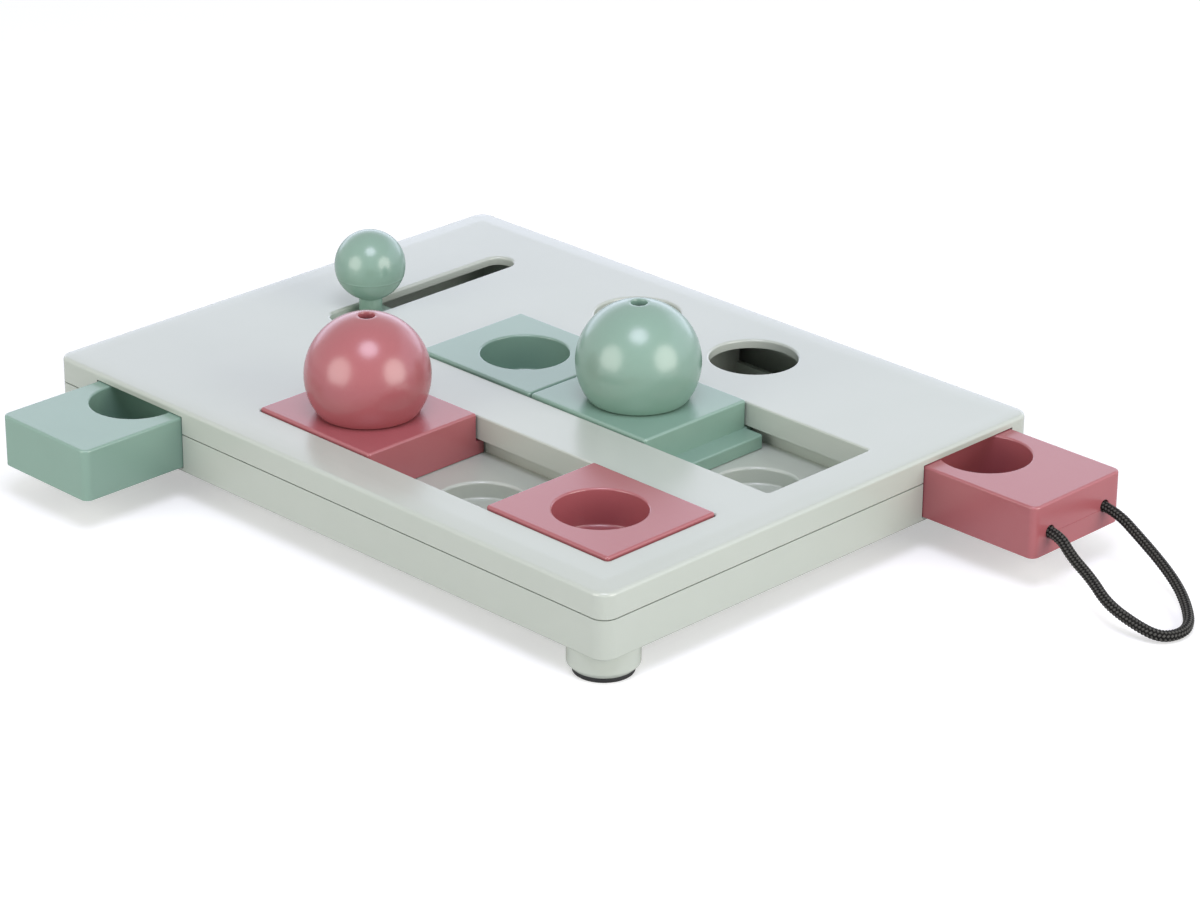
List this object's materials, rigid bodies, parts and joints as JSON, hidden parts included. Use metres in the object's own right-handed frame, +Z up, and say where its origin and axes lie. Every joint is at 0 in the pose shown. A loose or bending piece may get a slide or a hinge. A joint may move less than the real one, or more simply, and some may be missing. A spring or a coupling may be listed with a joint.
{
  "type": "cat puzzle feeder",
  "caption": "Activity board for a cat: grey housing on rubber feet with sliding cup blocks, lift-off balls, a lever drawer, a cord drawer and treat holes.",
  "frame": {"origin": "on the surface that the board stands on, under the middle of the board and its drawers as they stand at rest", "axes": "+X along the board's long side towards the corded drawer, +Y towards its rear, +Z up"},
  "size_m": [0.3459, 0.2284, 0.0645],
  "materials": {
    "grey_shell": "satin moulded ABS",
    "mint_plastic": "satin moulded ABS",
    "pink_plastic": "satin moulded ABS",
    "black_cord": "braided polyester",
    "black_rubber": "matt moulded rubber",
    "screw_steel": "zinc plated"
  },
  "bodies": {
    "housing": {"top_shell": "grey_shell", "base_shell": "grey_shell", "mint_track": "grey_shell", "pink_track": "grey_shell", "foot_pad_front_left": "black_rubber", "foot_pad_front_right": "black_rubber", "foot_pad_rear_left": "black_rubber", "foot_pad_rear_right": "black_rubber", "shell_screws": "screw_steel"},
    "mint_drawer_unit": {"mint_drawer": "mint_plastic", "drawer_lever": "mint_plastic"},
    "pink_drawer_unit": {"pink_drawer": "pink_plastic", "pull_cord": "black_cord", "cord_knots": "black_cord"},
    "mint_cup_block": {"mint_cup_slider": "mint_plastic"},
    "mint_knob_block": {"mint_knob_slider": "mint_plastic"},
    "pink_knob_block": {"pink_knob_slider": "pink_plastic"},
    "pink_cup_block": {"pink_cup_slider": "pink_plastic"},
    "mint_knob": {"mint_knob_ball": "mint_plastic", "mint_knob_collar": "mint_plastic"},
    "pink_knob": {"pink_knob_ball": "pink_plastic", "pink_knob_collar": "pink_plastic"}
  },
  "joints": [
    {"name": "mint_drawer_slide", "type": "slide", "parent": "housing", "child": "mint_drawer_unit", "axis": [0, -1, 0], "range_m": [-0.0597, 0.012]},
    {"name": "pink_drawer_slide", "type": "slide", "parent": "housing", "child": "pink_drawer_unit", "axis": [1, 0, 0], "range_m": [-0.0437, 0.012]},
    {"name": "mint_knob_block_slide", "type": "slide", "parent": "housing", "child": "mint_knob_block", "axis": [1, 0, 0], "range_m": [0, 0.0513]},
    {"name": "mint_cup_block_slide", "type": "slide", "parent": "housing", "child": "mint_cup_block", "axis": [1, 0, 0], "range_m": [0, 0.0513]},
    {"name": "pink_knob_block_slide", "type": "slide", "parent": "housing", "child": "pink_knob_block", "axis": [1, 0, 0], "range_m": [0, 0.0513]},
    {"name": "pink_cup_block_slide", "type": "slide", "parent": "housing", "child": "pink_cup_block", "axis": [1, 0, 0], "range_m": [-0.0513, 0]},
    {"name": "mint_knob_lift", "type": "slide", "parent": "mint_knob_block", "child": "mint_knob", "axis": [0, 0, 1], "range_m": [0, 0.03]},
    {"name": "pink_knob_lift", "type": "slide", "parent": "pink_knob_block", "child": "pink_knob", "axis": [0, 0, 1], "range_m": [0, 0.03]}
  ],
  "couplings": [
    {"joint": "mint_cup_block_slide", "follows": "mint_knob_block_slide", "ratio": 1}
  ]
}
